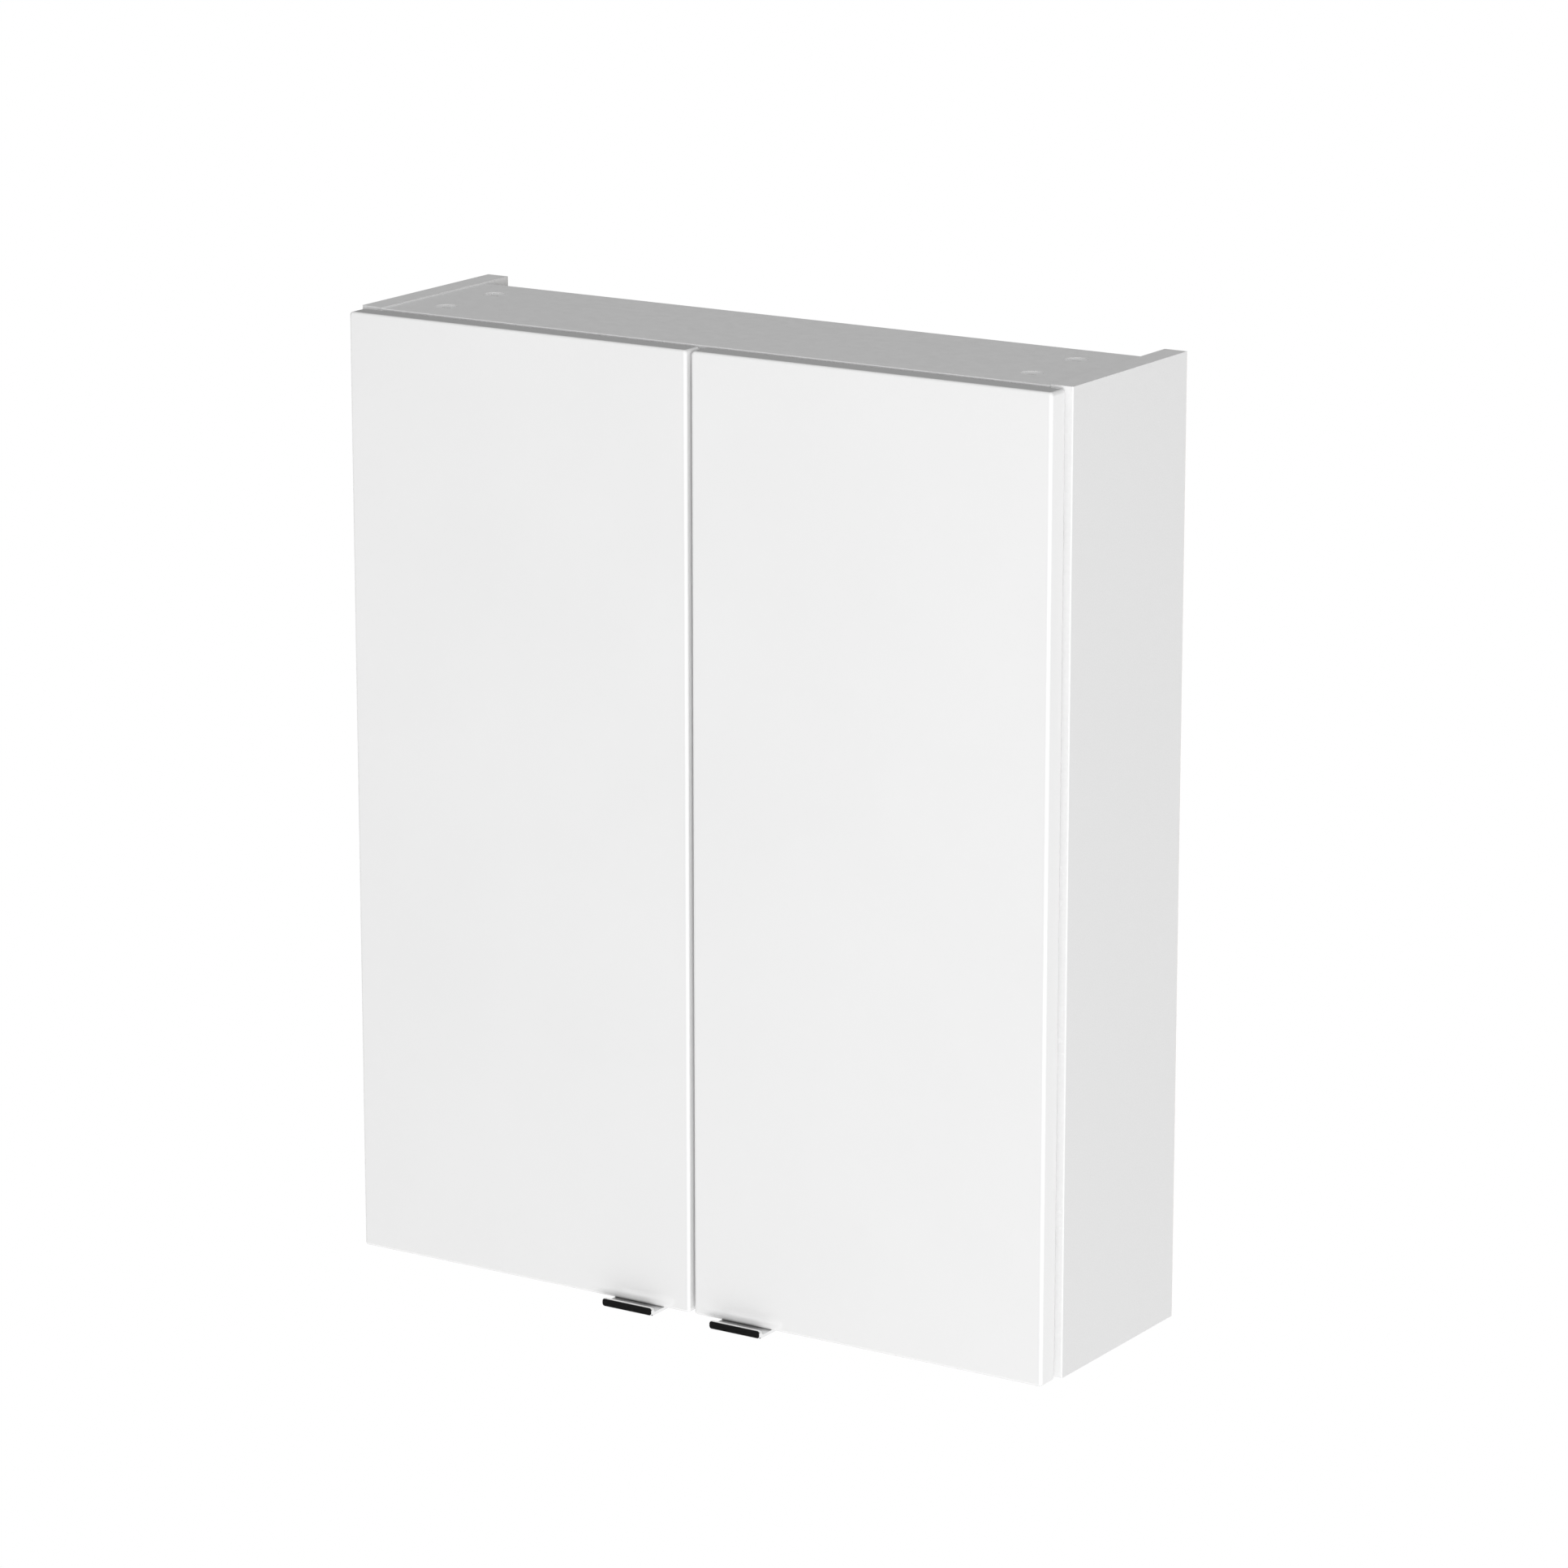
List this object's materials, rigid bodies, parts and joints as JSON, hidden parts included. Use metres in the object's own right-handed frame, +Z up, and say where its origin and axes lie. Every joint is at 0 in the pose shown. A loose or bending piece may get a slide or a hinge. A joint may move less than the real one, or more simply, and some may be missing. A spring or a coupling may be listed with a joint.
{
  "type": "hanging wall cabinet",
  "caption": "Slim hanging wall cabinet, gloss white: double doors on concealed hinges, small chromed edge pulls, adjustable shelves, hangers on wall plates",
  "frame": {"origin": "Centre of the four screw holes in the two wall plates, on the wall plane that the cabinet's rear edges touch.", "axes": "+X to the right as seen from the room, +Y into the wall, +Z up; the doors face -Y."},
  "size_m": [0.6, 0.1974, 0.7184],
  "materials": {
    "melamine_white": "white melamine-faced chipboard, satin",
    "lacquer_white": "high-gloss white lacquer on fibreboard",
    "backing_board": "white-faced hardboard, matt",
    "edging_white": "white plastic edging, satin",
    "pull_chrome": "polished chrome plate",
    "hinge_steel": "bright nickel plate",
    "pin_steel": "nickel plate",
    "cam_zinc": "white-painted die-cast zinc, matt",
    "screw_steel": "bright zinc plate",
    "dowel_beech": "raw beech",
    "hanger_plastic": "white moulded plastic",
    "cover_plastic": "white plastic",
    "bumper_rubber": "clear soft bumper",
    "plate_zinc_steel": "bright zinc plate"
  },
  "bodies": {
    "carcass": {"side_panel_left": "melamine_white", "side_panel_right": "melamine_white", "top_panel": "melamine_white", "bottom_panel": "melamine_white", "shelf_lower": "melamine_white", "shelf_upper": "melamine_white", "back_panel": "backing_board", "edge_band_left": "edging_white", "edge_band_right": "edging_white", "edge_band_top": "edging_white", "edge_band_bottom": "edging_white", "shelf_band_lower": "edging_white", "shelf_band_upper": "edging_white", "hinge_arms_left": "hinge_steel", "hinge_arms_right": "hinge_steel", "hinge_plates": "hinge_steel", "shelf_pins": "pin_steel", "cam_locks": "cam_zinc", "cam_bolts": "screw_steel", "plate_screws": "screw_steel", "arm_screws": "screw_steel", "hanger_adjusters": "screw_steel", "wooden_dowels": "dowel_beech", "hanger_body_left": "hanger_plastic", "hanger_body_right": "hanger_plastic", "hanger_cover_left": "cover_plastic", "hanger_cover_right": "cover_plastic", "wall_plate_left": "plate_zinc_steel", "wall_plate_right": "plate_zinc_steel", "hanger_hook_left": "plate_zinc_steel", "hanger_hook_right": "plate_zinc_steel"},
    "door_left_body": {"door_left": "lacquer_white", "hinge_cups_left": "hinge_steel", "cup_screws_left": "screw_steel", "hinge_pins_left": "pin_steel", "door_bumpers_left": "bumper_rubber", "handle_left": "pull_chrome", "handle_screws_left": "screw_steel"},
    "door_right_body": {"door_right": "lacquer_white", "hinge_cups_right": "hinge_steel", "cup_screws_right": "screw_steel", "hinge_pins_right": "pin_steel", "door_bumpers_right": "bumper_rubber", "handle_right": "pull_chrome", "handle_screws_right": "screw_steel"}
  },
  "joints": [
    {"name": "left_door_hinge", "type": "hinge", "parent": "carcass", "child": "door_left_body", "pos_m": [-0.288, -0.172, -0.2795], "axis": [0, 0, -1], "range_deg": [0, 95]},
    {"name": "right_door_hinge", "type": "hinge", "parent": "carcass", "child": "door_right_body", "pos_m": [0.288, -0.172, -0.2795], "axis": [0, 0, 1], "range_deg": [0, 95]}
  ]
}
